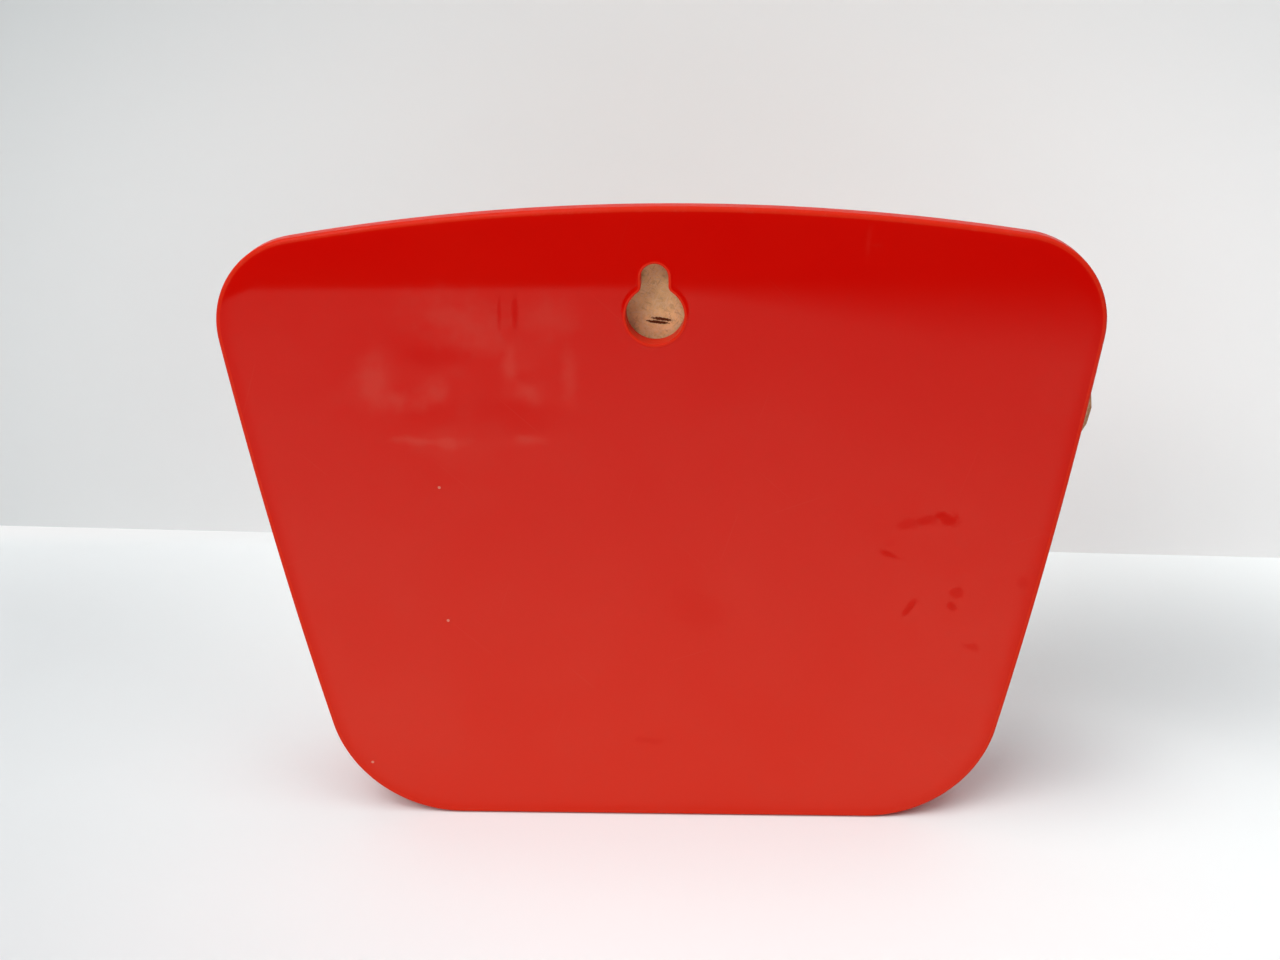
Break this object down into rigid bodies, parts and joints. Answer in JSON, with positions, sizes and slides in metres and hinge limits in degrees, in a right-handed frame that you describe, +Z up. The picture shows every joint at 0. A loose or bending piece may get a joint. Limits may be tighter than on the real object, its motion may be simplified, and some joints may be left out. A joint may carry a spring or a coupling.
{
  "type": "wall holder for filter papers",
  "caption": "Glossy red fan-shaped wall holder: a thick back plate with a keyhole, an open pocket bonded to its front, and a stack of flat brown cone filter papers that lift out.",
  "frame": {"origin": "on the standing surface, under the middle of the holder's bounding box", "axes": "+Z up, the pocket opens upwards and faces -Y, the plate's wall face looks to +Y, +X along the width"},
  "size_m": [0.182, 0.0372, 0.1418],
  "materials": {
    "red_plastic": "glossy moulded plastic with fine scratches and a few smears",
    "brown_paper": "unbleached creped filter paper with crimped seams"
  },
  "bodies": {
    "holder": {"back_plate": "red_plastic", "front_pocket": "red_plastic"},
    "paper_stack": {"filter_paper_01": "brown_paper", "filter_paper_02": "brown_paper", "filter_paper_03": "brown_paper", "filter_paper_04": "brown_paper", "filter_paper_05": "brown_paper", "filter_paper_06": "brown_paper", "filter_paper_07": "brown_paper", "filter_paper_08": "brown_paper", "filter_paper_09": "brown_paper", "filter_paper_10": "brown_paper", "filter_paper_11": "brown_paper", "filter_paper_12": "brown_paper", "filter_paper_13": "brown_paper", "filter_paper_14": "brown_paper", "filter_paper_15": "brown_paper", "filter_paper_16": "brown_paper", "filter_paper_17": "brown_paper", "filter_paper_18": "brown_paper", "filter_paper_19": "brown_paper", "filter_paper_20": "brown_paper", "filter_paper_21": "brown_paper", "filter_paper_22": "brown_paper", "filter_paper_23": "brown_paper"},
    "front_paper": {"filter_paper_24": "brown_paper"}
  },
  "joints": [
    {"name": "stack_lift", "type": "slide", "parent": "holder", "child": "paper_stack", "axis": [0, 0, 1], "range_m": [0, 0.145]},
    {"name": "front_sheet_lift", "type": "slide", "parent": "holder", "child": "front_paper", "axis": [0, 0, 1], "range_m": [0, 0.145]}
  ]
}
